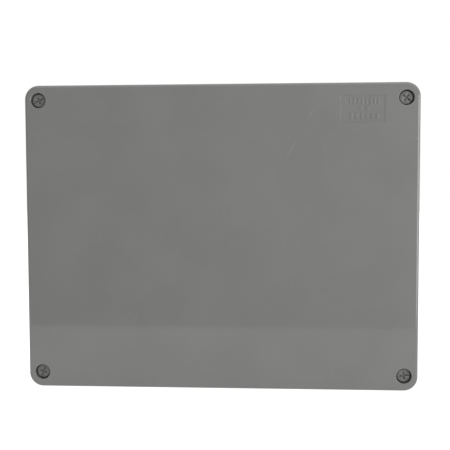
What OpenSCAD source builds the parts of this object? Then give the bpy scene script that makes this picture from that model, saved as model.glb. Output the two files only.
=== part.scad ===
// Electrical junction box: a deep moulded case with a screwed, gasketed lid, and a rail of terminal
// blocks inside. Every sub-part is drawn lying on its back, with x across, y up the wall and z out
// from the wall, and upright() then stands it against the wall with its lid facing -Y.

/* [Case] */
// Outside width of case and lid
case_w = 310; // [255:5:375]
// Outside height of case and lid
case_h = 241; // [200:1:290]
// Overall depth, from the wall face to the front of the lid
case_d = 125; // [104:1:150]
// Outside radius of the four long corners
corner_r = 11; // [9:0.5:14]
// Wall thickness of the case
wall_t = 3; // [2.5:0.5:3.6]
// Floor thickness of the case
floor_t = 3.5; // [2.5:0.5:4.5]
// How far the walls stand in from the collar under the lid
collar_step = 1; // [0.5:0.1:1.2]
// Height of the collar
collar_h = 6; // [5:0.5:8]
// Rounding of the back edges
back_edge_r = 2; // [1:0.5:2.5]
// Depth of the shallow relief in the back face
back_relief = 0.8; // [0.5:0.1:1.2]
// Width of the flat rim left around that relief
back_rim_w = 36; // [33:1:45]

/* [Lid] */
// Depth of the lid, front face to parting line
lid_d = 18; // [16.5:0.5:21]
// Thickness of the lid's front plate
lid_t = 3; // [2.5:0.5:3.5]
// Thickness of the lid's skirt
skirt_t = 2.6; // [2:0.1:2.7]
// Rounding of the lid's front edge
front_edge_r = 2.4; // [1:0.2:2.8]
// Open gap at the parting line
parting_gap = 0.5; // [0.3:0.1:0.8]
// Height of the stiffening ribs inside the lid
lid_rib_h = 2; // [1:0.5:3]
// Thickness of the stiffening ribs
lid_rib_t = 1.6; // [1.2:0.2:2.4]

/* [Seal] */
// Height of the gasket in its channel
gasket_t = 4.5; // [3:0.5:6]
// Thickness of the sealing tongue
tongue_t = 2.5; // [2:0.1:3]
// Free space on each side of the tongue
tongue_gap = 0.5; // [0.3:0.1:0.6]
// Thickness of the lid ribs that hold the gasket
channel_rib_t = 1.8; // [1.4:0.1:2]
// Free space on each side of the gasket
gasket_gap = 0.1; // [0:0.05:0.2]

/* [Lid screws] */
// Screw centre from the side edge
screw_inset_x = 10.9; // [10.5:0.1:13]
// Screw centre from the top or bottom edge
screw_inset_y = 11.85; // [10.5:0.05:14]
// Diameter of the corner posts and of the lid's screw wells outside
post_d = 15; // [14:0.5:15.5]
// Inside diameter of the screw wells
well_d = 11.7; // [11.3:0.1:12.5]
// Depth of the screw wells
well_depth = 8; // [7:0.5:9]
// Chamfer around the mouth of each well
well_chamfer = 0.5; // [0.2:0.1:1]
// Thickness of the well's floor
well_floor_t = 5; // [4:0.5:6]
// Diameter of the screw's head
head_d = 11; // [9:0.5:11]
// Height of the screw's head
head_h = 5; // [4:0.5:6]
// Diameter of the threaded end
thread_d = 6; // [5:0.5:6]
// Diameter of the neck above the thread
neck_d = 4.8; // [4:0.1:4.8]
// Distance that the screw rises before it is free
screw_travel = 6; // [5:0.5:7]
// Thickness of the ring that keeps the screw in the lid
ring_t = 1.4; // [1:0.1:2]
// Outside diameter of that ring
ring_d = 9.6; // [8.4:0.2:9.6]
// Bore in the post for the ring
post_bore_d = 10.5; // [10:0.1:11]
// Outside diameter of the brass insert
insert_d = 9; // [8:0.5:9.5]
// Length of the brass insert
insert_len = 6; // [5:0.5:8]
// Running clearance on radius between turning pieces
run_gap = 0.06; // [0.03:0.01:0.09]

/* [Fixings] */
// Wall hole centre from the outside edges
wall_hole_inset = 25; // [23:1:30]
// Diameter of the wall holes
wall_hole_d = 6.5; // [5:0.5:7]
// Diameter of the counterbore for the wall screw's head
wall_head_d = 12; // [10:0.5:13]
// Diameter of the bosses around the wall holes
wall_boss_d = 16; // [15:0.5:18]
// Height of those bosses above the floor
wall_boss_h = 4; // [3:0.5:6]
// Mounting plate boss from the side edges
plate_boss_inset_x = 45; // [42:1:55]
// Mounting plate boss from the top and bottom edges
plate_boss_inset_y = 40.5; // [38:0.5:50]
// Diameter of the mounting plate bosses
plate_boss_d = 9; // [8:0.5:11]
// Pilot hole in the mounting plate bosses
plate_pilot_d = 3.3; // [2.8:0.1:3.6]
// Diameter of the large knock-outs, in the top and bottom walls
knockout_long_d = 32.5; // [20.5:1:40.5]
// Diameter of the small knock-outs, in the side walls
knockout_short_d = 25.5; // [20.5:1:32.5]
// Spacing of the large knock-outs
knockout_long_pitch = 72; // [50:1:78]
// Spacing of the small knock-outs
knockout_short_pitch = 60; // [40:1:68]
// Width of the score line around a knock-out
score_w = 1.2; // [0.8:0.1:2]
// Depth of the score line
score_depth = 1; // [0.5:0.1:1.5]

/* [Rail] */
// Clear space between each end of the rail and the outside of the case
rail_end_gap = 30; // [24:1:40]
// Height of the rail's underside above the wall
rail_z = 10; // [8:0.5:14]
// Width over the rail's lips
rail_w = 35; // [35:0.1:35.3]
// Width of the rail's channel, outside
rail_base_w = 27; // [26:0.5:28]
// Height of the rail
rail_h = 7.5; // [7.5:0.1:8]
// Sheet thickness of the rail
rail_t = 1; // [1:0.1:1.2]
// Pitch of the rail's slots
slot_pitch = 25; // [23:1:30]
// Length of each slot
slot_len = 15; // [12:1:18]
// Width of each slot
slot_w = 6.2; // [5.2:0.1:6.4]
// Bosses under the rail, diameter
rail_boss_d = 12; // [10:0.5:14]
// Diameter of the rail screws
rail_screw_d = 4; // [3.5:0.1:4.5]
// Diameter of the rail screws' heads
rail_head_d = 9; // [8:0.5:11]

/* [Terminals] */
// Thickness of one terminal block
block_t = 12; // [11.5:0.5:15]
// Gap between neighbouring blocks
block_gap = 0.2; // [0.1:0.05:0.4]
// Depth of a block from wire entry to wire entry
block_w = 48; // [47:0.5:56]
// Height of a block above the rail
block_h = 45.5; // [45:0.5:52]
// Thickness of a block's closed side
web_t = 1.5; // [1:0.1:2]
// Distance between the upper and the lower clamp
clamp_pitch = 28; // [27.5:0.5:30]
// Diameter of the clamping screws
clamp_screw_d = 4; // [3:0.5:4]
// Diameter of the clamping screws' heads
clamp_head_d = 7; // [6:0.5:7]
// Height of the clamping screws' heads
clamp_head_h = 3; // [2.5:0.5:3.5]
// Travel of the wire clamps
clamp_travel = 5.6; // [4.9:0.7:5.6]
// Width and thickness of the current bar
bar_size = [6, 2]; // [2:0.5:6]
// Thickness of the end cover
end_cover_t = 1.5; // [1:0.1:2.5]
// Thickness of the end stops
end_stop_t = 9.5; // [8:0.5:12]

/* [Hidden] */
$fn = 96;
cut = 1;             // how far a cut runs past the face that it opens
case_grey = [0.49, 0.49, 0.485];
block_grey = [0.62, 0.63, 0.62];
zinc = [0.75, 0.75, 0.72];
brass = [0.78, 0.62, 0.33];

// Levels, out from the wall
part_z = case_d - lid_d;
collar_z = part_z - collar_h;
lid_under_z = case_d - lid_t;
tongue_z = lid_under_z - gasket_t;
well_z = case_d - well_depth;
boss_z = well_z - well_floor_t;
seat_gap = 0.2;
post_z = boss_z - seat_gap;
ring_gap = 0.3;
head_gap = 0.15;     // under the screws' heads, so that they turn free of the well's floor
insert_z = boss_z - screw_travel - ring_t - 2 * ring_gap;
tip_z = insert_z - insert_len;

// Insets from the outside outline, which the sealing parts follow
tongue_out = skirt_t + tongue_gap;
tongue_in = tongue_out + tongue_t;
channel_in = tongue_in + tongue_gap;
rib_in = channel_in + channel_rib_t;
post_bite = 0.3;     // how far the gasket channel's outer rib runs into the screw wells
notch_r = post_d / 2 - post_bite - (skirt_t - channel_rib_t);
notch_round_r = rib_in + 1.1;

// Screw centres, from the middle of the case
screw_x = case_w / 2 - screw_inset_x;
screw_y = case_h / 2 - screw_inset_y;
web_w = 3;           // webs that tie the posts to the walls

// Shallow panel in the lid with plain raised bars, level with the face
panel = [34, 21];
panel_inset = [44.3, 20.4];
panel_depth = 0.35;
panel_bar_rows = [[8, 1.1, 5], [2, 2.6, 2.6], [6, 1.9, 4.2]];
panel_row_y = [6, 0.2, -5.6];
panel_row_pitch = [3.1, 4.6, 4];

// Rail
rail_len = case_w - 2 * rail_end_gap;
rail_top = rail_z + rail_h;
slot_count = floor((rail_len - slot_len - 8) / slot_pitch) + 1;
rail_screw_x = (slot_count - 1) / 2 * slot_pitch;
rail_head_h = 2.6;
lip_fit = 0.15;      // play between the rail's lips and what clips onto them
hook_t = 2.4;
hook_out = 3.5;      // how far a hook reaches out past the rail's lip
hook_reach = 2.2;    // and how far in under it
pilot_floor = 1.5;   // solid left under a blind pilot hole
end_stop_top = rail_top + 30;
end_screw_sink = 1.4; // how far the end stops' screws lie below their tops
tip_gap = 0.05;      // under a clamping screw's tip

// Terminal blocks, heights out from the wall
TERMINALS = ["line_1", "line_2", "line_3", "neutral", "earth"];
SIDES = [["upper", 1], ["lower", -1]];
row_t = len(TERMINALS) * (block_t + block_gap) + end_cover_t;
row_x = -row_t / 2;
seat_z = rail_top + lip_fit;
block_top = rail_top + block_h;
part_x = web_t + (block_t - web_t) / 2;
cage_gap = 0.5;      // play around a clamp at each end of its travel
cage = [9, 8];
cage_side_t = 1.2;
cage_floor_t = 1.5;
cage_top_t = 2.5;
ledge_t = 1.5;       // rib under each clamping screw's head
head_play = 0.1;
driver_d = clamp_head_d + 0.6;
driver_depth = 5.4;
head_z = block_top - driver_depth - clamp_head_h;
pocket_top = head_z - head_play - ledge_t;
cage_top_max = pocket_top - cage_gap;
entry_h = 7.2;       // clear height under the current bar with the clamp open
cage_top = cage_top_max - clamp_travel;
lift_gap = 0.4;      // left between a clamp's top and the bar when it is open
bar_top = cage_top - cage_top_t - clamp_travel - lift_gap;
bar_z = bar_top - bar_size[1];
cage_z = bar_z - entry_h - cage_floor_t;
pocket_z = cage_z - cage_gap;
marker = [11.4, 12, 2.4];
saddle_gap = 0.3;
marker_z = block_top - 3;
stem = [2, 4];
stem_play = 0.1;

// Corner name, side across, side up, and the angle that the screw's slot came to rest at
CORNERS = [
    ["top_left", -1, 1, 24],
    ["top_right", 1, 1, -38],
    ["bottom_left", -1, -1, 71],
    ["bottom_right", 1, -1, 8]
];

// ---- Frame and outlines ----

// Stands a piece drawn on its back against the wall
module upright() rotate([90, 0, 0]) children();

module slab(z0, z1) translate([0, 0, z0]) linear_extrude(z1 - z0) children();

// Draws a piece once in each corner, from a drawing in the top right one
module each_corner() for (sx = [0, 1], sy = [0, 1]) mirror([sx, 0, 0]) mirror([0, sy, 0]) children();

module round_rect(w, h, r) {
    square([w - 2 * r, h], center = true);
    square([w, h - 2 * r], center = true);
    for (sx = [-1, 1], sy = [-1, 1]) translate([sx * (w / 2 - r), sy * (h / 2 - r)]) circle(r);
}

// The case's outline, drawn in by inset
module outline(inset) round_rect(case_w - 2 * inset, case_h - 2 * inset, max(corner_r - inset, 1));

// The sealed area: the outline drawn in by inset and stepped around each corner screw
module sealed_area(inset) {
    notch = notch_r + inset;
    r = notch_round_r - inset;
    hw = case_w / 2 - inset;
    hh = case_h / 2 - inset;
    nx = screw_x - notch;
    ny = screw_y - notch;
    square(2 * [nx - r, hh], center = true);
    square(2 * [nx, hh - r], center = true);
    square(2 * [hw, ny - r], center = true);
    square(2 * [hw - r, ny], center = true);
    each_corner() {
        translate([nx - r, hh - r]) circle(r);
        translate([hw - r, ny - r]) circle(r);
    }
    difference() {
        square(2 * [screw_x, screw_y], center = true);
        each_corner() translate([screw_x, screw_y]) circle(notch);
    }
}

module sealed_ring(outer, inner) difference() {
    sealed_area(outer);
    sealed_area(inner);
}

// Quarter of a disc, filling the corner at x = 0 outward
module quarter_disc(r) intersection() {
    circle(r);
    square(r);
}

// A block from z = 0 up to h on the outline drawn in by inset, its top edges rounded by r
module rounded_block(inset, h, r) {
    w = case_w - 2 * inset;
    l = case_h - 2 * inset;
    c = corner_r - inset;
    slab(0, h - r) outline(inset);
    slab(h - r, h) round_rect(w - 2 * r, l - 2 * r, c - r);
    translate([0, 0, h - r]) {
        for (s = [0, 1]) mirror([s, 0, 0]) translate([w / 2 - r, l / 2 - c, 0])
            rotate([90, 0, 0]) linear_extrude(l - 2 * c) quarter_disc(r);
        for (s = [0, 1]) mirror([0, s, 0]) translate([-w / 2 + c, l / 2 - r, 0])
            rotate([90, 0, 90]) linear_extrude(w - 2 * c) quarter_disc(r);
        each_corner() translate([w / 2 - c, l / 2 - c, 0])
            rotate_extrude(angle = 90) translate([c - r, 0]) quarter_disc(r);
    }
}

// Extrudes a drawing of y and z along x, from x0
module across(x0, t) translate([x0, 0, 0]) rotate([90, 0, 90]) linear_extrude(t) children();

// ---- Case ----

module knockout_score(d) difference() {
    cylinder(d = d, h = score_depth + cut);
    translate([0, 0, -cut]) cylinder(d = d - 2 * score_w, h = score_depth + 3 * cut);
}

module knockout_scores() {
    z = (floor_t + collar_z) / 2;
    for (s = [0, 1], i = [-1, 0, 1]) mirror([0, s, 0])
        translate([i * knockout_long_pitch, case_h / 2 - collar_step - score_depth, z])
            rotate([-90, 0, 0]) knockout_score(knockout_long_d);
    for (s = [0, 1], i = [-0.5, 0.5]) mirror([s, 0, 0])
        translate([case_w / 2 - collar_step - score_depth, i * knockout_short_pitch, z])
            rotate([0, 90, 0]) knockout_score(knockout_short_d);
}

// A round stud rooted in the floor, its top at the given height above the wall
module floor_stud(d, top) translate([0, 0, floor_t / 2]) cylinder(d = d, h = top - floor_t / 2);

module corner_post() translate([screw_x, screw_y, 0]) {
    wall_mid = collar_step + wall_t / 2;
    floor_stud(post_d, post_z);
    translate([0, -web_w / 2, floor_t / 2]) cube([screw_inset_x - wall_mid, web_w, part_z - floor_t]);
    translate([-web_w / 2, 0, floor_t / 2]) cube([web_w, screw_inset_y - wall_mid, part_z - floor_t]);
}

module corner_post_bore() translate([screw_x, screw_y, 0]) {
    translate([0, 0, insert_z]) cylinder(d = post_bore_d, h = case_d - insert_z);
    translate([0, 0, tip_z]) cylinder(d = insert_d, h = insert_len + cut);
    translate([0, 0, tip_z / 2]) cylinder(d = thread_d + 0.6, h = tip_z / 2 + cut);
}

module wall_hole_place() each_corner()
    translate([case_w / 2 - wall_hole_inset, case_h / 2 - wall_hole_inset, 0]) children();

module plate_boss_place() each_corner()
    translate([case_w / 2 - plate_boss_inset_x, case_h / 2 - plate_boss_inset_y, 0]) children();

module rail_boss_place() for (s = [-1, 1]) translate([s * rail_screw_x, 0, 0]) children();

module base() color(case_grey) upright() difference() {
    union() {
        difference() {
            union() {
                translate([0, 0, collar_z]) mirror([0, 0, 1])
                    rounded_block(collar_step, collar_z, back_edge_r);
                slab(collar_z, part_z) outline(0);
            }
            slab(floor_t, collar_z) outline(collar_step + wall_t);
            slab(collar_z - cut, part_z + cut) sealed_area(tongue_in);
        }
        slab(part_z - cut, tongue_z) sealed_ring(tongue_out, tongue_in);
        each_corner() corner_post();
        wall_hole_place() floor_stud(wall_boss_d, floor_t + wall_boss_h);
        plate_boss_place() floor_stud(plate_boss_d, rail_z);
        rail_boss_place() floor_stud(rail_boss_d, rail_z);
    }
    each_corner() corner_post_bore();
    wall_hole_place() {
        translate([0, 0, -cut]) cylinder(d = wall_hole_d, h = floor_t + wall_boss_h + 2 * cut);
        translate([0, 0, floor_t + wall_boss_h / 2]) cylinder(d = wall_head_d, h = wall_boss_h / 2 + cut);
    }
    plate_boss_place() translate([0, 0, pilot_floor]) cylinder(d = plate_pilot_d, h = rail_z);
    rail_boss_place() translate([0, 0, pilot_floor]) cylinder(d = rail_screw_d + 2 * run_gap, h = rail_z);
    slab(-cut, back_relief)
        round_rect(case_w - 2 * back_rim_w, case_h - 2 * back_rim_w, corner_r);
    knockout_scores();
}

// ---- Lid ----

module panel_cut() translate([case_w / 2 - panel_inset[0], case_h / 2 - panel_inset[1]])
    slab(case_d - panel_depth, case_d + cut) difference() {
        square(panel, center = true);
        for (row = [0:len(panel_bar_rows) - 1]) {
            bar = panel_bar_rows[row];
            for (i = [0:bar[0] - 1])
                translate([(i - (bar[0] - 1) / 2) * panel_row_pitch[row] + 1.2, panel_row_y[row]])
                    square([bar[1], bar[2]], center = true);
        }
    }

// Stiffening ribs on the inside of the plate, ending in the gasket channel's inner rib
module lid_ribs() {
    count_x = 5;
    count_y = 3;
    reach_x = case_w / 2 - rib_in + channel_rib_t / 2;
    reach_y = case_h / 2 - rib_in + channel_rib_t / 2;
    pitch_x = (screw_x - post_d) * 2 / (count_x + 0.2);
    pitch_y = (screw_y - post_d) * 2 / (count_y + 0.2);
    slab(lid_under_z - lid_rib_h, lid_under_z + cut / 2) {
        for (i = [0:count_x - 1]) translate([(i - (count_x - 1) / 2) * pitch_x, 0])
            square([lid_rib_t, 2 * reach_y], center = true);
        for (i = [0:count_y - 1]) translate([0, (i - (count_y - 1) / 2) * pitch_y])
            square([2 * reach_x, lid_rib_t], center = true);
    }
}

module lid() color(case_grey) upright() difference() {
    union() {
        difference() {
            translate([0, 0, part_z + parting_gap]) rounded_block(0, lid_d - parting_gap, front_edge_r);
            slab(part_z - cut, lid_under_z) outline(skirt_t);
        }
        slab(boss_z, lid_under_z + cut / 2) {
            sealed_ring(skirt_t - channel_rib_t, skirt_t);
            sealed_ring(channel_in, rib_in);
        }
        each_corner() translate([screw_x, screw_y, boss_z])
            cylinder(d = post_d, h = lid_under_z - boss_z + cut);
        lid_ribs();
    }
    each_corner() translate([screw_x, screw_y, 0]) {
        translate([0, 0, well_z]) cylinder(d = well_d, h = well_depth + cut);
        translate([0, 0, case_d - well_chamfer])
            cylinder(d1 = well_d, d2 = well_d + 2 * (well_chamfer + cut), h = well_chamfer + cut);
        translate([0, 0, boss_z - cut]) cylinder(d = thread_d + 0.6, h = well_floor_t + 2 * cut);
    }
    panel_cut();
}

module gasket() color([0.12, 0.12, 0.12]) upright()
    slab(tongue_z, lid_under_z) sealed_ring(skirt_t + gasket_gap, channel_in - gasket_gap);

// ---- Lid screws ----

module at_corner(c) translate([c[1] * screw_x, c[2] * screw_y, 0]) children();

module lid_screw(c) color([0.4, 0.4, 0.4]) upright() at_corner(c) rotate([0, 0, c[3]]) {
    head_bottom = well_z + head_gap;
    top = head_bottom + head_h;
    bevel = 0.5;
    slot_w = 1.6;
    slot_depth = 2;
    cross_w = 6;
    cross_depth = 3;
    shoulder = insert_z + ring_gap - 0.1;
    difference() {
        rotate_extrude() polygon([
            [0, tip_z], [thread_d / 2 - 2 * bevel, tip_z], [thread_d / 2, tip_z + 2 * bevel],
            [thread_d / 2, shoulder], [neck_d / 2, shoulder], [neck_d / 2, head_bottom],
            [head_d / 2, head_bottom], [head_d / 2, top - bevel], [head_d / 2 - bevel, top], [0, top]
        ]);
        slab(top - slot_depth, top + cut) square([head_d + 2 * cut, slot_w], center = true);
        slab(top - cross_depth, top + cut) {
            square([cross_w, slot_w], center = true);
            square([slot_w, cross_w], center = true);
        }
    }
}

module screw_ring(c) color([0.15, 0.15, 0.15]) upright() at_corner(c)
    translate([0, 0, insert_z + ring_gap]) difference() {
        cylinder(d = ring_d, h = ring_t);
        translate([0, 0, -cut]) cylinder(d = neck_d + 2 * run_gap, h = ring_t + 2 * cut);
    }

module screw_insert(c) color(brass) upright() at_corner(c) translate([0, 0, tip_z]) difference() {
    cylinder(d = insert_d, h = insert_len);
    translate([0, 0, -cut]) cylinder(d = thread_d + 2 * run_gap, h = insert_len + 2 * cut);
}

// ---- Rail ----

module rail_section() {
    half_lip = (rail_w - rail_base_w) / 2 + rail_t;
    translate([-rail_base_w / 2, rail_z]) square([rail_base_w, rail_t]);
    for (s = [0, 1]) mirror([s, 0]) {
        translate([rail_base_w / 2 - rail_t, rail_z]) square([rail_t, rail_h]);
        translate([rail_base_w / 2 - rail_t, rail_top - rail_t]) square([half_lip, rail_t]);
    }
}

module din_rail() color(zinc) upright() difference() {
    across(-rail_len / 2, rail_len) rail_section();
    for (i = [0:slot_count - 1]) translate([(i - (slot_count - 1) / 2) * slot_pitch, 0, rail_z - cut])
        linear_extrude(rail_t + 2 * cut) round_rect(slot_len, slot_w, slot_w / 2 - 0.01);
}

module rail_screw(side) color(zinc) upright() translate([side * rail_screw_x, 0, 0]) {
    seat = rail_z + rail_t;
    difference() {
        union() {
            translate([0, 0, seat]) cylinder(d = rail_head_d, h = rail_head_h);
            translate([0, 0, pilot_floor + 0.5])
                cylinder(d = rail_screw_d, h = seat - pilot_floor);
        }
        for (a = [0, 90]) rotate([0, 0, a + 30 * side])
            translate([-2.4, -0.5, seat + rail_head_h - 1.5]) cube([4.8, 1, 3]);
    }
}

// Hooks that clip a block or an end stop under the rail's lips
module rail_hooks() for (s = [0, 1]) mirror([s, 0]) {
    lip = rail_w / 2;
    hook_z = rail_top - rail_t - lip_fit - hook_t;
    translate([lip + lip_fit, hook_z]) square([hook_out - lip_fit, seat_z - hook_z + cut / 2]);
    translate([lip - hook_reach, hook_z]) square([hook_out + hook_reach, hook_t]);
}

module end_stop(side) color(block_grey) upright() {
    half = rail_w / 2 + hook_out;
    top = end_stop_top;
    slope = 12;
    foot_hole = [7, 10];
    x0 = side > 0 ? row_x + row_t + block_gap : row_x - block_gap - end_stop_t;
    difference() {
        across(x0, end_stop_t) {
            polygon([
                [-half, seat_z], [half, seat_z], [half, top - slope], [half - slope, top],
                [slope - half, top], [-half, top - slope]
            ]);
            rail_hooks();
        }
        translate([x0 + end_stop_t / 2, 0, 0]) {
            cylinder(d = clamp_screw_d + 2 * run_gap, h = top);
            translate([0, 0, top - end_screw_sink - clamp_head_h - head_play])
                cylinder(d = driver_d, h = end_screw_sink + clamp_head_h + cut);
        }
        for (s = [-1, 1])
            translate([x0 - cut, s * (half - foot_hole[0]) - foot_hole[0] / 2, seat_z + hook_t])
                cube([end_stop_t + 2 * cut, foot_hole[0], foot_hole[1]]);
    }
}

// A clamping screw from its tip at z0 to the top of its head at z1
module slotted_screw(z0, z1) difference() {
    slot = [2 * clamp_head_d, 1];
    slot_depth = 1.4;
    union() {
        translate([0, 0, z0]) cylinder(d = clamp_screw_d, h = z1 - z0 - clamp_head_h / 2);
        translate([0, 0, z1 - clamp_head_h]) cylinder(d = clamp_head_d, h = clamp_head_h);
    }
    slab(z1 - slot_depth, z1 + cut) square(slot, center = true);
}

module end_stop_screw(side) color(zinc) upright() {
    x = side > 0 ? row_x + row_t + block_gap + end_stop_t / 2 : row_x - block_gap - end_stop_t / 2;
    translate([x, 0, 0]) rotate([0, 0, 40 + 25 * side])
        slotted_screw(rail_z + rail_t + tip_gap, end_stop_top - end_screw_sink);
}

// ---- Terminal blocks ----

function block_x(i) = row_x + i * (block_t + block_gap);

module block_outline() {
    half = block_w / 2;
    slope = [4, 16];
    difference() {
        union() {
            polygon([
                [-half, seat_z], [half, seat_z], [half, block_top - slope[1]], [half - slope[0], block_top],
                [slope[0] - half, block_top], [-half, block_top - slope[1]]
            ]);
            rail_hooks();
        }
        saddle = marker[1] + 2 * saddle_gap;
        translate([-saddle / 2, marker_z]) square([saddle, block_top - marker_z + cut]);
    }
}

module block_pockets() {
    bar_play = 0.1;
    rib = 1.5;
    entry_w = 8;
    entry_play = 0.6;
    open_t = block_t - web_t + cut;
    room = cage[1] + 4 * cage_gap;
    // Rooms for the two clamps, and the driver holes
    for (s = SIDES) translate([0, s[1] * clamp_pitch / 2, 0]) {
        translate([web_t, -room / 2, pocket_z]) cube([open_t, room, pocket_top - pocket_z]);
        translate([part_x, 0, 0]) {
            translate([0, 0, pocket_top - cut])
                cylinder(d = clamp_screw_d + entry_play, h = ledge_t + 2 * cut);
            translate([0, 0, head_z - head_play]) cylinder(d = driver_d, h = block_top);
        }
    }
    // Wire entries
    for (s = [0, 1]) mirror([0, s, 0])
        translate([part_x - entry_w / 2, clamp_pitch / 2, cage_z + cage_floor_t - entry_play])
            cube([entry_w, block_w / 2, entry_h + 2 * entry_play]);
    // Slot that holds the current bar
    translate([part_x - bar_size[0] / 2 - bar_play, -clamp_pitch / 2, bar_z - bar_play])
        cube([block_t, clamp_pitch, bar_size[1] + 2 * bar_play]);
    // Cored-out middle, below and above the bar
    middle = clamp_pitch - room - 2 * rib;
    translate([web_t, -middle / 2, seat_z + rib]) cube([open_t, middle, bar_z - seat_z - 2 * rib]);
    translate([web_t, -middle / 2, bar_top + rib])
        cube([open_t, middle, marker_z - stem[1] - bar_top - 2 * rib]);
    // Slot for the marker's stem
    translate([-cut, -stem[0] / 2 - stem_play, marker_z - stem[1]])
        cube([block_t + 2 * cut, stem[0] + 2 * stem_play, stem[1] + cut]);
}

module terminal(i) {
    name = TERMINALS[i];
    shade = name == "earth" ? [0.35, 0.6, 0.2] : name == "neutral" ? [0.15, 0.35, 0.65] : block_grey;
    color(shade) upright() difference() {
        across(block_x(i), block_t) block_outline();
        translate([block_x(i), 0, 0]) block_pockets();
    }
}

module current_bar(i) color(brass) upright()
    translate([block_x(i) + part_x - bar_size[0] / 2, -clamp_pitch / 2 - cage[1] / 2, bar_z])
        cube([bar_size[0], clamp_pitch + cage[1], bar_size[1]]);

module clamp_place(i, side) translate([block_x(i) + part_x, side * clamp_pitch / 2, 0]) children();

module clamp_screw(i, side) color(zinc) upright() clamp_place(i, side)
    rotate([0, 0, 17 * (i + 1) * (side + 2)])
        slotted_screw(bar_top + tip_gap, head_z + clamp_head_h);

module clamp_cage(i, side) color(zinc) upright() clamp_place(i, side) difference() {
    translate([-cage[0] / 2, -cage[1] / 2, cage_z]) cube([cage[0], cage[1], cage_top - cage_z]);
    translate([-cage[0] / 2 + cage_side_t, -cage[1] / 2 - cut, cage_z + cage_floor_t])
        cube([cage[0] - 2 * cage_side_t, cage[1] + 2 * cut, cage_top - cage_top_t - cage_z - cage_floor_t]);
    translate([0, 0, cage_top - cage_top_t - cut])
        cylinder(d = clamp_screw_d + 2 * run_gap, h = cage_top_t + 2 * cut);
}

module marker_tag(i) color("white") upright() translate([block_x(i) + (block_t - marker[0]) / 2, 0, 0]) {
    translate([0, -marker[1] / 2, marker_z]) cube(marker);
    translate([0, -stem[0] / 2, marker_z - stem[1] + 2 * stem_play]) cube([marker[0], stem[0], stem[1]]);
}

module end_cover() color(block_grey) upright()
    across(row_x + row_t - end_cover_t, end_cover_t) block_outline();

// ---- Nodes ----

base();
lid();
gasket();
din_rail();
end_cover();
for (c = CORNERS) {
    lid_screw(c);
    screw_ring(c);
    screw_insert(c);
}
for (s = [["left", -1], ["right", 1]]) {
    rail_screw(s[1]);
    end_stop(s[1]);
    end_stop_screw(s[1]);
}
for (i = [0:len(TERMINALS) - 1]) {
    name = TERMINALS[i];
    terminal(i);
    current_bar(i);
    marker_tag(i);
    for (s = SIDES) {
        clamp_screw(i, s[1]);
        clamp_cage(i, s[1]);
    }
}
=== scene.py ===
from math import cos, pi, radians, sin, tau

import bmesh
import bpy
from mathutils import Matrix, Vector


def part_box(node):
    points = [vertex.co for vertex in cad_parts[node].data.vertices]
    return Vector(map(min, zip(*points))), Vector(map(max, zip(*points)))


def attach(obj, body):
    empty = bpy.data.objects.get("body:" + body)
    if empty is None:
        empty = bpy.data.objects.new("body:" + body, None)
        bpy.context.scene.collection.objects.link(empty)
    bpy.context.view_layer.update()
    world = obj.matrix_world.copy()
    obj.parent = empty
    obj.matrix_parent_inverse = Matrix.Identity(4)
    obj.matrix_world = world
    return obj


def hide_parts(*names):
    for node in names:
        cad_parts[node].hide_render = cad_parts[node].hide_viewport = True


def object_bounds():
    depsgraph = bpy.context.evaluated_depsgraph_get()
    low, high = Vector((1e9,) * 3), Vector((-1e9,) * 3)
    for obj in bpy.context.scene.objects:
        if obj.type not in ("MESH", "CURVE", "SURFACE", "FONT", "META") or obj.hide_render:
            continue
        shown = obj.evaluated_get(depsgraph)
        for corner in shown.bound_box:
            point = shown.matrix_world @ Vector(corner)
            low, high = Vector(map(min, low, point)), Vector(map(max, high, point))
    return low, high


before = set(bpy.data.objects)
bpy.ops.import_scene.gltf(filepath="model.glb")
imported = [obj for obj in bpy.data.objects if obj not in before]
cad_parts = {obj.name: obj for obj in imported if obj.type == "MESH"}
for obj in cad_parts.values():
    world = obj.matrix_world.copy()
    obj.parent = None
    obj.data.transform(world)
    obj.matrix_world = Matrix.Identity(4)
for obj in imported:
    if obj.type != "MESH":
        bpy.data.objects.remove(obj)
cad_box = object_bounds()

# The looks of an electrical junction box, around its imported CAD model. Metres throughout. The box
# stands on its bottom edge with its lid facing -Y. Turned pieces are made about their own Z, which
# points out from the wall, and stand_out() then lays them in place.

MM = 0.001
CORNERS = ["top_left", "top_right", "bottom_left", "bottom_right"]
TERMINALS = ["line_1", "line_2", "line_3", "neutral", "earth"]
CLAMPS = [f"{name}_{side}" for name in TERMINALS for side in ("upper", "lower")]
ENDS = ["left", "right"]
SHARP_EDGE = radians(35)          # an edge that turns more than this isn't shaded smooth

# Camera: where it stands from the middle of the lid's face, and where it looks
CAMERA_DISTANCE = 0.6638
CAMERA_FROM = (4.21, 4.65)        # azimuth and elevation that it stands at, degrees
CAMERA_LOOK = (3.876, 3.771)      # azimuth and elevation that it looks along, degrees
CAMERA_ROLL = -0.199
LENS = 67.45

# Studio
TABLE_REACH = 0.262               # from the lid's face to the front edge of the white table
TABLE_SIZE = 3.0
TABLE_GLOW = 0.9                  # a light table, so that the box's shadow on it stays faint
ROOM_LIGHT = (-0.3, 0.4, 0.72, 1.0)  # from this far left to this far right, dim to bright
BACKDROP = 1.02                   # just over white
LIGHT_AIM = Vector((0, -0.06, 0))
SOFTBOXES = {                     # place, size and watts
    "overhead": ((0.1, -0.5, 1.6), 2.4, 18),
    "key": ((0.8, -0.75, -0.25), 1.0, 13.2),
    "back": ((-0.9, 1.2, 0.9), 1.8, 5),
}

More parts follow.
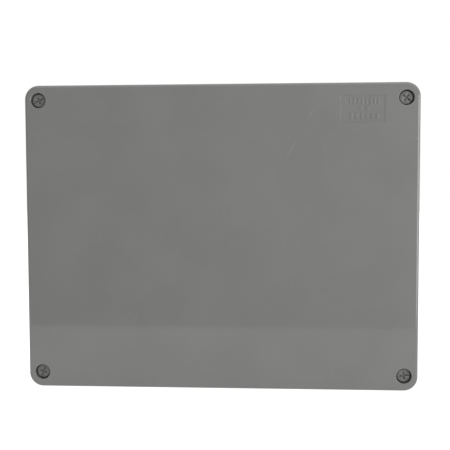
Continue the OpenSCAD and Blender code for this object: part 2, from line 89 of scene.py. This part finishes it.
# Lid screws: captive, moulded, with a slot and a short cross
LID_SCREW_TURNS = {"top_left": 24, "top_right": -38, "bottom_left": 71, "bottom_right": 8}
LID_SCREW_HEAD = 5 * MM
LID_SCREW_NECK = 2.4 * MM
LID_SCREW_THREAD = 3 * MM
LID_SCREW_THREAD_LEN = 6.2 * MM
LID_SCREW_PITCH = 1 * MM
LID_SCREW_STARTS = 3
LID_SCREW_DEPTH = 0.55 * MM       # of its thread
LID_SLOT = (1.2 * MM, 0.7 * MM)   # width and depth
LID_CROSS = (5.4 * MM, 1.4 * MM)  # length and depth

# Clamping screws, on the terminals and the end stops
CLAMP_SHANK = 2 * MM
CLAMP_HEAD = 3 * MM
CLAMP_SLOT = (1 * MM, 1.4 * MM)
CLAMP_PITCH = 0.7 * MM
CLAMP_DEPTH = 0.38 * MM           # of its thread

# Rail screws: pan-headed, with a cross recess
PAN_HEAD = 2.6 * MM
PAN_PITCH = 1.4 * MM
PAN_DEPTH = 0.6 * MM              # of its thread
PAN_CROSS = (4.8 * MM, 1 * MM, 1.5 * MM)  # length, width and depth

# Earth terminal: middle of its two yellow stripes, up and down from the rail, and their half width
EARTH_STRIPE = (14 * MM, 5.2 * MM)

# Rail: rolled from one strip, with the slots that the rail screws pass through
RAIL_T = 1 * MM
RAIL_BASE_W = 27 * MM
RAIL_BEND = 0.8 * MM              # inside radius of the bends
RAIL_SLOT = (15 * MM, 6.2 * MM)
RAIL_SLOT_PITCH = 25 * MM
RAIL_END_CLEAR = 8 * MM           # left plain at the rail's ends, both together, at the least


# ---- Node trees ----

def linear(r, g, b):
    """An sRGB colour, 0 to 255, as the linear colour that sockets take."""
    steps = [c / 255 for c in (r, g, b)]
    return (*[c / 12.92 if c < 0.04045 else ((c + 0.055) / 1.055) ** 2.4 for c in steps], 1)


class Shader:
    """A material with one Principled shader, and short ways to make the nodes that feed it."""

    def __init__(self, name, **sockets):
        self.material = bpy.data.materials.new(name)
        self.material.use_nodes = True
        self.nodes = self.material.node_tree.nodes
        self.links = self.material.node_tree.links
        self.nodes.clear()
        self.bsdf = self.nodes.new("ShaderNodeBsdfPrincipled")
        output = self.nodes.new("ShaderNodeOutputMaterial")
        self.links.new(self.bsdf.outputs[0], output.inputs["Surface"])
        for socket, value in sockets.items():
            self.bsdf.inputs[socket.replace("_", " ")].default_value = value
        self.place = self.nodes.new("ShaderNodeTexCoord").outputs["Object"]

    def put(self, value, socket):
        """Links an output to a socket, or sets the socket to a plain value."""
        if isinstance(value, bpy.types.NodeSocket):
            self.links.new(value, socket)
        else:
            socket.default_value = value

    def node(self, kind, settings, *values):
        made = self.nodes.new(kind)
        for key, value in settings.items():
            setattr(made, key, value)
        for value, socket in zip(values, made.inputs):
            if value is not None:
                self.put(value, socket)
        return made

    def stretched(self, sizes):
        """The piece's own coordinates, counted in steps of these sizes along X, Y and Z."""
        made = self.node("ShaderNodeMapping", {"vector_type": "TEXTURE"}, self.place)
        made.inputs["Scale"].default_value = sizes
        return made.outputs[0]

    def noise(self, size, detail=3.0, place=None, rough=0.5):
        """Noise whose patches are about size metres across."""
        made = self.node("ShaderNodeTexNoise", {}, place or self.place)
        made.inputs["Scale"].default_value = 1 / size
        made.inputs["Detail"].default_value = detail
        made.inputs["Roughness"].default_value = rough
        return made.outputs[0]

    def cells(self, size, feature="F1"):
        """Distances within cells that are about size metres across."""
        made = self.node("ShaderNodeTexVoronoi", {"feature": feature}, self.place)
        made.inputs["Scale"].default_value = 1 / size
        return made.outputs["Distance"]

    def math(self, operation, a, b=0.0):
        return self.node("ShaderNodeMath", {"operation": operation}, a, b).outputs[0]

    def band(self, value, low, high, to_low=0.0, to_high=1.0):
        """value mapped smoothly from low..high to to_low..to_high, and held beyond."""
        settings = {"interpolation_type": "SMOOTHSTEP", "clamp": True}
        return self.node("ShaderNodeMapRange", settings, value, low, high, to_low, to_high).outputs[0]

    def mix(self, share, a, b):
        made = self.nodes.new("ShaderNodeMix")
        made.data_type = "RGBA"
        for key, value in ((0, share), (6, a), (7, b)):
            self.put(value, made.inputs[key])
        return made.outputs[2]

    def bump(self, height, distance, normal=None):
        made = self.nodes.new("ShaderNodeBump")
        made.inputs["Distance"].default_value = distance
        self.put(height, made.inputs["Height"])
        if normal is not None:
            self.put(normal, made.inputs["Normal"])
        return made.outputs[0]

    def edges(self, radius):
        """1 along the piece's edges and 0 on its faces."""
        rounded = self.nodes.new("ShaderNodeBevel")
        rounded.samples = 4
        rounded.inputs["Radius"].default_value = radius
        flat = self.nodes.new("ShaderNodeNewGeometry").outputs["Normal"]
        settings = {"operation": "DOT_PRODUCT"}
        dot = self.node("ShaderNodeVectorMath", settings, rounded.outputs[0], flat).outputs["Value"]
        return self.band(dot, 0.75, 0.995, 1.0, 0.0)

    def scratches(self, size, width, share):
        """Short straight hairlines: the borders of large cells, kept in a few patches only."""
        lines = self.band(self.cells(size, "DISTANCE_TO_EDGE"), 0, width / size, 1.0, 0.0)
        kept = self.band(self.noise(size / 3, 1), 1 - share, 1.03 - share)
        return self.math("MULTIPLY", lines, kept)

    def finish(self, colour, roughness, normal):
        self.put(colour, self.bsdf.inputs["Base Color"])
        self.put(roughness, self.bsdf.inputs["Roughness"])
        self.put(normal, self.bsdf.inputs["Normal"])
        return self.material


# ---- Materials ----

def shade(colour, factor):
    return (*[min(1, c * factor) for c in colour[:3]], 1)


def moulded(name, colour, gloss, peel=0.004, wear_and_highlight=0.35, ior=1.5, stripe=None):
    """Injection-moulded plastic: flow mottle, fine speckle, orange peel, hairlines, specks, edges
    painted lighter (partly polished wear, partly painted highlight), and stripes of a second colour, as
    an earth terminal has. peel is in millimetres."""
    s = Shader(name, IOR=ior)
    colour = linear(*colour)
    mottle = s.band(s.noise(45 * MM, 4), 0.3, 0.7)
    speckle = s.band(s.noise(0.5 * MM, 2), 0.35, 0.65)
    tone = s.mix(mottle, shade(colour, 0.965), shade(colour, 1.035))
    tone = s.mix(s.math("MULTIPLY", speckle, 0.25), tone, shade(colour, 0.92))
    if stripe:
        middle, half_width = EARTH_STRIPE
        height = s.node("ShaderNodeSeparateXYZ", {}, s.place).outputs["Z"]
        off = s.math("ABSOLUTE", s.math("SUBTRACT", s.math("ABSOLUTE", height), middle))
        inside = s.band(off, half_width - 0.05 * MM, half_width + 0.05 * MM, 1.0, 0.0)
        tone = s.mix(inside, tone, linear(*stripe))
    lines = s.scratches(60 * MM, 0.14 * MM, 0.5)
    edge = s.edges(0.5 * MM)
    tone = s.mix(s.math("MULTIPLY", lines, 0.4), tone, shade(colour, 1.3))
    specks = s.band(s.cells(11 * MM), 0.02, 0.035, 0.35, 0.0)
    tone = s.mix(specks, tone, shade(colour, 2))
    # Edges painted lighter: partly polished wear, partly a painted highlight along edges and well
    # mouths.
    tone = s.mix(s.math("MULTIPLY", edge, wear_and_highlight), tone, shade(colour, 1.3))
    rub = s.band(s.noise(28 * MM, 5, rough=0.65), 0.38, 0.72, gloss * 0.8, gloss * 1.3)
    rough = s.math("ADD", rub, s.math("MULTIPLY", lines, 0.15))
    waves = s.bump(s.noise(22 * MM, 1), 0.03 * MM)
    peeled = s.bump(s.noise(1.6 * MM, 2), peel * MM, waves)
    scored = s.bump(lines, -0.004 * MM, peeled)
    return s.finish(tone, rough, scored)


def plated(name, colour, tint, rough, grain):
    """Rolled or turned metal: a grain of the given sizes in millimetres, a cloudy plating tint, dull
    spots and bright edges."""
    s = Shader(name, Metallic=1.0)
    colour = linear(*colour)
    tint = linear(*tint)
    clouds = s.band(s.noise(6 * MM, 4), 0.35, 0.7)
    tone = s.mix(clouds, colour, tint)
    grainy = s.noise(1.0, 3, s.stretched([size * MM for size in grain]))
    tone = s.mix(s.band(grainy, 0.3, 0.7, 0.0, 0.25), tone, shade(colour, 0.72))
    spots = s.band(s.noise(0.9 * MM, 3), 0.62, 0.72)
    tone = s.mix(s.math("MULTIPLY", spots, 0.4), tone, shade(tint, 0.6))
    edge = s.edges(0.3 * MM)
    tone = s.mix(s.math("MULTIPLY", edge, 0.5), tone, shade(colour, 1.25))
    base = s.band(grainy, 0.25, 0.75, rough - 0.07, rough + 0.1)
    dull = s.math("ADD", base, s.math("MULTIPLY", spots, 0.2))
    lined = s.bump(grainy, 0.008 * MM)
    return s.finish(tone, dull, s.bump(s.noise(0.4 * MM, 2), 0.003 * MM, lined))


def gasket_rubber():
    """Closed-cell foam rubber: small open pores, painted darker inside as painted shade, over a soft
    uneven skin.
    """
    s = Shader("gasket_rubber", IOR=1.5)
    pores_and_pit_shade = s.band(s.cells(0.45 * MM), 0.12, 0.4)
    dust = s.band(s.noise(5 * MM, 4), 0.45, 0.7)
    # Pore pits painted darker than the skin: painted shade in the pits.
    tone = s.mix(pores_and_pit_shade, linear(20, 20, 21), linear(46, 46, 47))
    tone = s.mix(s.math("MULTIPLY", dust, 0.3), tone, linear(84, 82, 78))
    rough = s.band(s.noise(2 * MM, 3), 0.3, 0.7, 0.78, 0.95)
    soft = s.bump(s.noise(3 * MM, 2), 0.05 * MM)
    return s.finish(tone, rough, s.bump(pores_and_pit_shade, 0.06 * MM, soft))


# sRGB colours from 0 to 255. Gloss is the roughness of the moulded skin. The edges are painted lighter
# by
# wear_and_highlight: partly polished wear, partly painted highlight.
PLASTICS = {
    "case_plastic": {"colour": (97, 97, 95.5), "gloss": 0.07, "wear_and_highlight": 0.75, "ior": 1.52},
    "screw_plastic": {"colour": (89, 89, 88), "gloss": 0.45, "peel": 0.01},
    "ring_plastic": {"colour": (38, 38, 40), "gloss": 0.35},
    "marker_white": {"colour": (206, 206, 200), "gloss": 0.3, "wear_and_highlight": 0.15},
    "block_grey": {"colour": (150, 152, 148), "gloss": 0.38, "peel": 0.012},
    "block_blue": {"colour": (38, 92, 160), "gloss": 0.38, "peel": 0.012},
    "block_green": {"colour": (60, 130, 48), "gloss": 0.38, "peel": 0.012, "stripe": (214, 190, 50)},
}
EVEN_GRAIN = (0.67, 0.67, 0.67)
METALS = {
    "rail_zinc": {"colour": (196, 198, 196), "tint": (206, 200, 178), "rough": 0.34,
                  "grain": (13.3, 0.33, 0.33)},
    "screw_zinc": {"colour": (200, 200, 198), "tint": (214, 204, 170), "rough": 0.28,
                   "grain": EVEN_GRAIN},
    "cage_zinc": {"colour": (190, 192, 192), "tint": (200, 198, 190), "rough": 0.4,
                  "grain": EVEN_GRAIN},
    "insert_brass": {"colour": (212, 176, 104), "tint": (190, 150, 84), "rough": 0.3,
                     "grain": EVEN_GRAIN},
    "bar_copper": {"colour": (214, 134, 96), "tint": (176, 96, 66), "rough": 0.36,
                   "grain": (0.67, 0.67, 10)},
}
MATERIALS = {name: moulded(name, **look) for name, look in PLASTICS.items()}
MATERIALS |= {name: plated(name, **look) for name, look in METALS.items()}
MATERIALS["gasket_rubber"] = gasket_rubber()


# ---- Making pieces ----

def add_object(name, bm):
    """An object from a bmesh, shaded smooth except over its sharp edges."""
    bmesh.ops.recalc_face_normals(bm, faces=bm.faces)
    mesh = bpy.data.meshes.new(name)
    bm.to_mesh(mesh)
    bm.free()
    mesh.shade_smooth()
    mesh.set_sharp_from_angle(angle=SHARP_EDGE)
    obj = bpy.data.objects.new(name, mesh)
    bpy.context.scene.collection.objects.link(obj)
    return obj


def turned(rows, sides, tube=False):
    """A bmesh turned about Z through rows of (radius, height). A radius may be a function of the
    angle. The rows run from axis to axis, or all the way round the wall of a tube."""
    bm = bmesh.new()
    rings = []
    for radius, z in rows:
        reach = radius if callable(radius) else lambda angle, r=radius: r
        angles = [0] if radius == 0 else [tau * i / sides for i in range(sides)]
        rings.append([bm.verts.new((reach(a) * cos(a), reach(a) * sin(a), z)) for a in angles])
    for lower, upper in zip(rings, rings[1:] + rings[:1] if tube else rings[1:]):
        for i in range(sides):
            j = i + 1
            ring = [lower[i % len(lower)], lower[j % sides % len(lower)],
                    upper[j % sides % len(upper)], upper[i % len(upper)]]
            corners = list(dict.fromkeys(ring))
            if len(corners) > 2:
                bm.faces.new(corners)
    return bm


def thread(z0, z1, radius, pitch, depth, starts=1):
    """Rows of a helical thread from z0 to z1 that fades in and out over its first and last turn."""
    per_turn = 8
    count = round(abs(z1 - z0) / pitch * per_turn)
    rows = []
    for i in range(count + 1):
        z = z0 + (z1 - z0) * i / count
        fade = min(1, i / per_turn, (count - i) / per_turn)

        def reach(angle, z=z, fade=fade):
            phase = (z / pitch - starts * angle / tau) % 1
            return radius - depth * fade * abs(2 * phase - 1)
        rows.append((reach, z))
    return rows


def slot_cutter(length, width, depth, top, turn=0.0):
    """A bmesh that cuts a slot down from the height top, its mouth chamfered on all four sides."""
    chamfer = 0.12 * MM
    above = 1 * MM
    levels = [(0, top - depth), (0, top - chamfer), (chamfer, top), (chamfer + above, top + above)]
    bm = bmesh.new()
    rings = []
    for flare, z in levels:
        x = length / 2 + flare
        y = width / 2 + flare
        rings.append([bm.verts.new((px, py, z)) for px, py in ((-x, -y), (x, -y), (x, y), (-x, y))])
    bm.faces.new(rings[0])
    bm.faces.new(rings[-1])
    for lower, upper in zip(rings, rings[1:]):
        for i in range(4):
            bm.faces.new((lower[i], lower[i - 3], upper[i - 3], upper[i]))
    bmesh.ops.rotate(bm, verts=bm.verts, matrix=Matrix.Rotation(turn, 3, "Z"))
    return bm


def applied(obj):
    """Makes the object's modifiers part of its mesh."""
    shape = bpy.data.meshes.new_from_object(obj.evaluated_get(bpy.context.evaluated_depsgraph_get()))
    obj.modifiers.clear()
    obj.data = shape


def carve(obj, *cutters):
    """Cuts closed bmeshes out of an object."""
    tools = [add_object("tool", bm) for bm in cutters]
    for tool in tools:
        cut = obj.modifiers.new("cut", "BOOLEAN")
        cut.operation = "DIFFERENCE"
        cut.solver = "EXACT"
        cut.object = tool
    applied(obj)
    for tool in tools:
        bpy.data.objects.remove(tool)


def set_material(mesh, material):
    mesh.materials.clear()
    mesh.materials.append(MATERIALS[material])


def stand_out(mesh, name, place, turn, body, node):
    """Puts a turned mesh at place, its Z out from the wall, as the piece that replaces a CAD node."""
    obj = bpy.data.objects.new(name, mesh)
    bpy.context.scene.collection.objects.link(obj)
    obj.matrix_world = (Matrix.Translation(place) @ Matrix.Rotation(pi / 2, 4, "X")
                        @ Matrix.Rotation(radians(turn), 4, "Z"))
    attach(obj, body)
    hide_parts(node)


def seat_of(node):
    """The middle of a node's back end, and its length out from the wall."""
    low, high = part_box(node)
    return Vector(((low.x + high.x) / 2, high.y, (low.z + high.z) / 2)), high.y - low.y


def radius_of(node):
    """Half of a turned node's width."""
    low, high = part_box(node)
    return (high.x - low.x) / 2


def take_mesh(obj, material):
    """The object's mesh, in its material, with the object itself removed."""
    mesh = obj.data
    set_material(mesh, material)
    bpy.data.objects.remove(obj)
    return mesh


# ---- Screws and inserts ----

def lid_screws():
    _, length = seat_of("lid_screw_top_left")
    head = radius_of("lid_screw_top_left")
    under = length - LID_SCREW_HEAD
    tip = 0.9 * MM
    fillet = 0.3 * MM
    edge = 0.9 * MM
    root = LID_SCREW_THREAD_LEN
    round_top = [(head - edge + edge * sin(a), length - edge + edge * cos(a))
                 for a in (pi / 2, pi / 3, pi / 6, 0)]
    rows = [(0, 0), (LID_SCREW_THREAD - tip, 0)]
    rows += thread(0.7 * MM, root - 0.2 * MM, LID_SCREW_THREAD, LID_SCREW_PITCH, LID_SCREW_DEPTH,
                   LID_SCREW_STARTS)
    rows += [(LID_SCREW_THREAD, root), (LID_SCREW_NECK + fillet / 2, root),
             (LID_SCREW_NECK, root + fillet / 2), (LID_SCREW_NECK, under - fillet),
             (LID_SCREW_NECK + fillet, under), (head - 0.2 * MM, under), (head, under + 0.2 * MM)]
    rows += round_top + [(0, length)]
    screw = add_object("lid_screw", turned(rows, 72))
    width, depth = LID_SLOT
    reach, deep = LID_CROSS
    carve(screw, slot_cutter(4 * head, width, depth, length), slot_cutter(reach, width, deep, length),
          slot_cutter(reach, width, deep, length, turn=pi / 2))
    mesh = take_mesh(screw, "screw_plastic")
    for corner in CORNERS:
        node = f"lid_screw_{corner}"
        place, _ = seat_of(node)
        stand_out(mesh, f"captive_screw_{corner}", place, LID_SCREW_TURNS[corner], node,
                  node)


def inserts():
    """Brass inserts with a knurled outside and a threaded bore."""
    _, length = seat_of("screw_insert_top_left")
    outer = radius_of("screw_insert_top_left")
    bore = LID_SCREW_THREAD + 0.06 * MM
    lead = 0.35 * MM
    teeth = 36
    tooth = 0.18 * MM
    thread_depth = 0.4 * MM
    twist = 60                        # radians for each metre along the insert
    steps = 8

    def knurl(z):
        return lambda angle: outer - tooth * (0.5 - 0.5 * cos(teeth * (angle + z * twist)))
    rows = [(bore + lead, 0), (outer - lead, 0), (outer - 0.1 * MM, lead)]
    heights = [lead * 1.5 + (length - 3 * lead) * i / steps for i in range(steps + 1)]
    rows += [(knurl(z), z) for z in heights]
    rows += [(outer - 0.1 * MM, length - lead), (outer - lead, length), (bore + lead, length)]
    rows += thread(length - lead, lead, bore, LID_SCREW_PITCH, -thread_depth, LID_SCREW_STARTS)
    insert = add_object("insert", turned(rows, 180, tube=True))
    mesh = take_mesh(insert, "insert_brass")
    for corner in CORNERS:
        place, _ = seat_of(f"screw_insert_{corner}")
        stand_out(mesh, f"brass_insert_{corner}", place, 0, "case",
                  f"screw_insert_{corner}")


def slotted_screw(name, length):
    """A clamping screw with a rolled thread, a chamfered cheese head and one slot."""
    head = radius_of("end_stop_screw_left")
    under = length - CLAMP_HEAD
    edge = 0.35 * MM
    rows = [(0, 0), (CLAMP_SHANK - 0.7 * MM, 0)]
    rows += thread(0.5 * MM, under - 0.3 * MM, CLAMP_SHANK, CLAMP_PITCH, CLAMP_DEPTH)
    rows += [(CLAMP_SHANK, under - 0.1 * MM), (CLAMP_SHANK + 0.1 * MM, under), (head - 0.15 * MM, under),
             (head, under + 0.15 * MM), (head, length - edge), (head - edge * 0.3, length - edge * 0.3),
             (head - edge, length), (0, length)]
    screw = add_object(name, turned(rows, 48))
    width, depth = CLAMP_SLOT
    carve(screw, slot_cutter(4 * head, width, depth, length))
    return take_mesh(screw, "screw_zinc")


def clamping_screws():
    _, length = seat_of("end_stop_screw_left")
    long_screw = slotted_screw("long_screw", length)
    for end, turn in zip(ENDS, (15, 65)):
        place, _ = seat_of(f"end_stop_screw_{end}")
        stand_out(long_screw, f"grip_screw_{end}", place, turn, "case",
                  f"end_stop_screw_{end}")
    _, length = seat_of("clamp_screw_line_1_upper")
    short_screw = slotted_screw("short_screw", length)
    for i, clamp in enumerate(CLAMPS):
        node = f"clamp_screw_{clamp}"
        place, _ = seat_of(node)
        stand_out(short_screw, f"wire_screw_{clamp}", place, 37 * i, node, node)


def rail_screws():
    """Pan-headed self-tapping screws with a cross recess."""
    _, length = seat_of("rail_screw_left")
    head = radius_of("rail_screw_left")
    shank = 2 * MM
    rim = 0.9 * MM
    under = length - PAN_HEAD
    dome = [(head * sin(a), under + rim + (PAN_HEAD - rim) * cos(a))
            for a in (pi / 2, pi * 0.4, pi * 0.3, pi * 0.2, pi * 0.1)]
    rows = [(0, 0), (0.8 * MM, 0)]
    rows += thread(0.4 * MM, under - 0.2 * MM, shank, PAN_PITCH, PAN_DEPTH)
    rows += [(shank, under), (head - 0.1 * MM, under), (head, under + 0.1 * MM)]
    rows += dome + [(0, length)]
    screw = add_object("rail_screw", turned(rows, 48))
    reach, width, depth = PAN_CROSS
    carve(screw, *[slot_cutter(reach, width, depth, length, turn=turn) for turn in (0, pi / 2)])
    mesh = take_mesh(screw, "screw_zinc")
    for end, turn in zip(ENDS, (-30, 30)):
        place, _ = seat_of(f"rail_screw_{end}")
        stand_out(mesh, f"pan_screw_{end}", place, turn, "case", f"rail_screw_{end}")


# ---- Rail ----

def rail_strip(width, height):
    """Corners of the rail's folded strip, seen from its end: its lower side and its upper side."""
    base = RAIL_BASE_W / 2
    lower = [(width / 2, height - RAIL_T), (base, height - RAIL_T), (base, 0)]
    upper = [(width / 2, height), (base - RAIL_T, height), (base - RAIL_T, RAIL_T)]
    mirrored = [[(-x, y) for x, y in reversed(side)] for side in (lower, upper)]
    return lower + mirrored[0], upper + mirrored[1]


def rounded_path(points, radii):
    """An open path through points, each inner corner rounded to its own radius."""
    steps = 5
    path = [Vector(points[0])]
    for before, corner, after, radius in zip(points, points[1:], points[2:], radii):
        corner = Vector(corner)
        start = (Vector(before) - corner).normalized() * radius
        end = (Vector(after) - corner).normalized() * radius
        middle = corner + start + end
        for i in range(steps + 1):
            a = pi / 2 * i / steps
            path.append(middle - end * cos(a) - start * sin(a))
    path.append(Vector(points[-1]))
    return path


def slot_tool(x, length, width, high):
    """A closed bmesh of one slot: a straight bar with round ends, from below the rail to high."""
    sides = 12
    bm = bmesh.new()
    straight = (length - width) / 2
    outline = []
    for end in (1, -1):
        for i in range(sides + 1):
            a = -pi / 2 + pi * i / sides
            outline.append((x + end * (straight + width / 2 * cos(a)), end * width / 2 * sin(a)))
    rings = [[bm.verts.new((px, y, z)) for px, y in outline] for z in (-high, high)]
    bm.faces.new(rings[0])
    bm.faces.new(rings[1])
    for i in range(len(outline)):
        bm.faces.new((rings[0][i], rings[0][i - 1], rings[1][i - 1], rings[1][i]))
    return bm


def rail():
    """The top-hat rail, with its bends rounded as rolling leaves them."""
    low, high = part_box("din_rail")
    lower, upper = rail_strip(high.z - low.z, high.y - low.y)
    wide = RAIL_BEND + RAIL_T
    outline = rounded_path(lower, [RAIL_BEND, wide, wide, RAIL_BEND])
    outline += reversed(rounded_path(upper, [wide, RAIL_BEND, RAIL_BEND, wide]))
    bm = bmesh.new()
    ends = [[bm.verts.new((x, p.x, p.y)) for p in outline] for x in (low.x, high.x)]
    for ring in ends:
        bm.faces.new(ring)
    for i in range(len(outline)):
        bm.faces.new((ends[0][i], ends[0][i - 1], ends[1][i - 1], ends[1][i]))
    strip = add_object("strip", bm)
    length, width = RAIL_SLOT
    count = int((high.x - low.x - length - RAIL_END_CLEAR) / RAIL_SLOT_PITCH) + 1
    places = [(i - (count - 1) / 2) * RAIL_SLOT_PITCH for i in range(count)]
    carve(strip, *[slot_tool(x, length, width, 2 * RAIL_T) for x in places])
    mesh = take_mesh(strip, "rail_zinc")
    stand_out(mesh, "top_hat_rail", Vector((0, high.y, 0)), 0, "case", "din_rail")


# ---- Carried-over CAD nodes ----

def ease_edges(node, width, segments):
    """Rounds a CAD node's sharp edges with modifiers, which leave its own mesh as it is."""
    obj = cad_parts[node]
    weld = obj.modifiers.new("weld", "WELD")
    weld.merge_threshold = 0.002 * MM
    flat = obj.modifiers.new("flat", "DECIMATE")
    flat.decimate_type = "DISSOLVE"
    flat.angle_limit = radians(0.3)
    bevel = obj.modifiers.new("bevel", "BEVEL")
    bevel.width = width
    bevel.segments = segments
    bevel.limit_method = "ANGLE"
    bevel.angle_limit = SHARP_EDGE
    bevel.use_clamp_overlap = False
    normals = obj.modifiers.new("normals", "WEIGHTED_NORMAL")
    normals.keep_sharp = False
    normals.weight = 90


def dress(node, material, edge, segments=2):
    """Gives a carried-over CAD node its material and edges eased by edge millimetres."""
    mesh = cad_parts[node].data
    set_material(mesh, material)
    mesh.polygons.foreach_set("material_index", [0] * len(mesh.polygons))
    ease_edges(node, edge * MM, segments)


def dress_all():
    for node in ("base", "lid"):
        dress(node, "case_plastic", 0.12, 1)
    dress("gasket", "gasket_rubber", 0.6, 3)
    for corner in CORNERS:
        dress(f"screw_ring_{corner}", "ring_plastic", 0.15)
    for end in ENDS:
        dress(f"end_stop_{end}", "block_grey", 0.3)
    dress("end_cover", "block_grey", 0.25)
    shades = {"neutral": "block_blue", "earth": "block_green"}
    for name in TERMINALS:
        dress(f"terminal_{name}", shades.get(name, "block_grey"), 0.2)
        dress(f"current_bar_{name}", "bar_copper", 0.15)
        dress(f"marker_{name}", "marker_white", 0.25)
    for clamp in CLAMPS:
        dress(f"clamp_cage_{clamp}", "cage_zinc", 0.2)


# ---- Studio ----

def table():
    """The white table that the box stands on. Its front edge shows only as the lower reflection."""
    floor = cad_box[0].z
    front = cad_box[0].y - TABLE_REACH
    bm = bmesh.new()
    side = TABLE_SIZE / 2
    corners = [(-side, front), (side, front), (side, front + TABLE_SIZE), (-side, front + TABLE_SIZE)]
    bm.faces.new([bm.verts.new((x, y, floor)) for x, y in corners])
    top = add_object("table", bm)
    s = Shader("table_white", Emission_Color=(1, 1, 1, 1), Emission_Strength=TABLE_GLOW)
    tone = s.mix(s.noise(0.2, 3), linear(146, 146, 146), linear(150, 150, 150))
    top.data.materials.append(s.finish(tone, s.band(s.noise(0.1, 2), 0.3, 0.7, 0.6, 0.7),
                                       s.bump(s.noise(2 * MM, 2), 0.01 * MM)))


def studio_world():
    """White to the camera. To everything else, a room whose light comes more from the right."""
    world = bpy.data.worlds.new("studio")
    bpy.context.scene.world = world
    world.use_nodes = True
    nodes = world.node_tree.nodes
    links = world.node_tree.links
    nodes.clear()
    across = nodes.new("ShaderNodeSeparateXYZ")
    links.new(nodes.new("ShaderNodeTexCoord").outputs["Generated"], across.inputs[0])
    room = nodes.new("ShaderNodeMapRange")
    room.interpolation_type = "SMOOTHSTEP"
    for socket, value in zip(room.inputs[1:5], ROOM_LIGHT):
        socket.default_value = value
    links.new(across.outputs["X"], room.inputs[0])
    seen = nodes.new("ShaderNodeMix")
    seen.data_type = "FLOAT"
    links.new(nodes.new("ShaderNodeLightPath").outputs["Is Camera Ray"], seen.inputs[0])
    links.new(room.outputs[0], seen.inputs[2])
    seen.inputs[3].default_value = BACKDROP
    sky = nodes.new("ShaderNodeBackground")
    sky.inputs["Color"].default_value = (1, 1, 1, 1)
    links.new(seen.outputs[0], sky.inputs["Strength"])
    output = nodes.new("ShaderNodeOutputWorld")
    links.new(sky.outputs[0], output.inputs["Surface"])


def softbox(name, place, size, watts):
    light = bpy.data.lights.new(name, "AREA")
    light.shape = "SQUARE"
    light.size = size
    light.energy = watts
    obj = bpy.data.objects.new(name, light)
    obj.location = place
    obj.rotation_euler = (LIGHT_AIM - obj.location).to_track_quat("-Z", "Y").to_euler()
    bpy.context.scene.collection.objects.link(obj)


def studio():
    table()
    studio_world()
    for name, (place, size, watts) in SOFTBOXES.items():
        softbox(name, Vector(place), size, watts)
    bpy.context.scene.view_settings.view_transform = "Standard"


def camera():
    azimuth, elevation = (radians(a) for a in CAMERA_FROM)
    back = Vector((sin(azimuth) * cos(elevation), -cos(azimuth) * cos(elevation), sin(elevation)))
    data = bpy.data.cameras.new("camera")
    data.lens = LENS
    obj = bpy.data.objects.new("camera", data)
    look, down = (radians(a) for a in CAMERA_LOOK)
    turn = (Matrix.Rotation(look, 4, "Z") @ Matrix.Rotation(pi / 2 - down, 4, "X")
            @ Matrix.Rotation(radians(CAMERA_ROLL), 4, "Z"))
    middle = (cad_box[0] + cad_box[1]) / 2
    lid_face = Vector((middle.x, cad_box[0].y, middle.z))
    obj.matrix_world = Matrix.Translation(lid_face + CAMERA_DISTANCE * back) @ turn
    bpy.context.scene.collection.objects.link(obj)
    bpy.context.scene.camera = obj


camera()
studio()
dress_all()
lid_screws()
inserts()
clamping_screws()
rail_screws()
rail()
